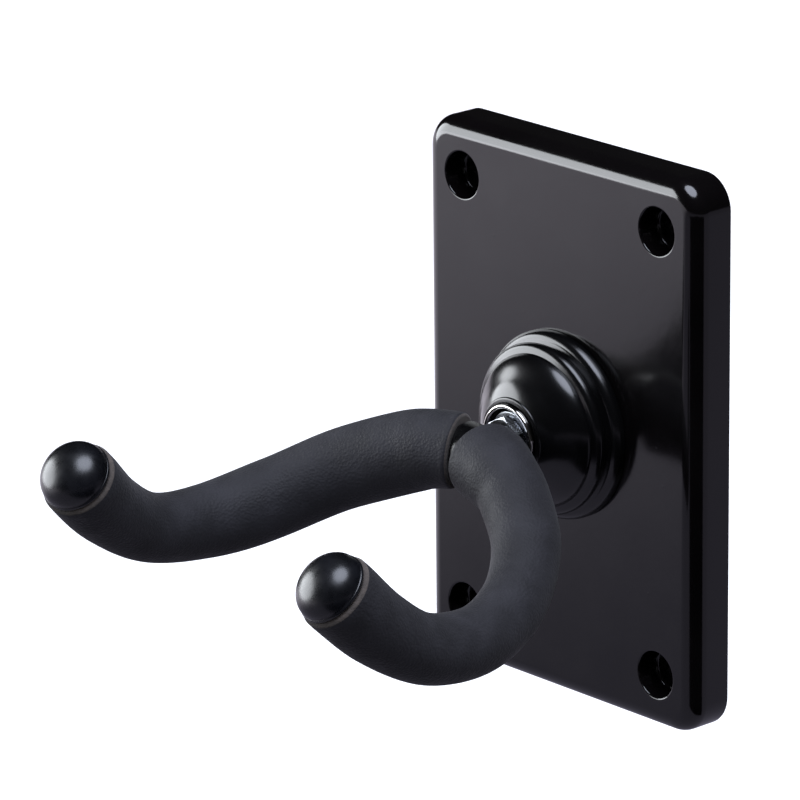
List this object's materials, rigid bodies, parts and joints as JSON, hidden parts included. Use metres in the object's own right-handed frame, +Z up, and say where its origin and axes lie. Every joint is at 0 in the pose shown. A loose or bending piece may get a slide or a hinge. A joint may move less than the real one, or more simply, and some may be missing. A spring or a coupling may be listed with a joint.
{
  "type": "guitar wall hanger",
  "caption": "Wall hanger for a guitar: a swivelling steel yoke in foam sleeves on a lacquered back plate with a turned boss.",
  "frame": {"origin": "middle of the plate's back face, where the swivel's axis meets the wall", "axes": "+X to the right as seen from the room, -Y out of the wall along the swivel's axis, +Z up"},
  "size_m": [0.1222, 0.1415, 0.1474],
  "materials": {
    "black_lacquer": "sprayed black gloss lacquer on a rounded board",
    "gloss_black_abs": "polished black moulding",
    "bright_nickel": "bright nickel plate, turned and polished",
    "zinc_plated_steel": "bright zinc plate",
    "black_nylon": "moulded black nylon",
    "natural_nylon": "moulded natural nylon",
    "black_painted_steel": "satin black enamel",
    "black_foam": "closed-cell foam tube with a fine skin",
    "gloss_black_cap": "glossy moulded dome"
  },
  "bodies": {
    "base": {"back_plate": "black_lacquer", "boss_cover": "gloss_black_abs", "mouth_ferrule": "bright_nickel", "front_bush": "black_nylon", "rear_bush": "black_nylon", "rear_washer": "zinc_plated_steel"},
    "yoke": {"swivel_stem": "zinc_plated_steel", "thrust_washer": "zinc_plated_steel", "jam_nut": "zinc_plated_steel", "spring_washer": "zinc_plated_steel", "lock_nut": "zinc_plated_steel", "lock_nut_insert": "natural_nylon", "yoke_knuckle": "black_painted_steel", "yoke_rod": "black_painted_steel", "left_foam_sleeve": "black_foam", "right_foam_sleeve": "black_foam", "left_end_cap": "gloss_black_cap", "right_end_cap": "gloss_black_cap"}
  },
  "joints": [
    {"name": "yoke_swivel", "type": "hinge", "parent": "base", "child": "yoke", "pos_m": [0, 0, 0], "axis": [0, 1, 0], "continuous": true}
  ]
}
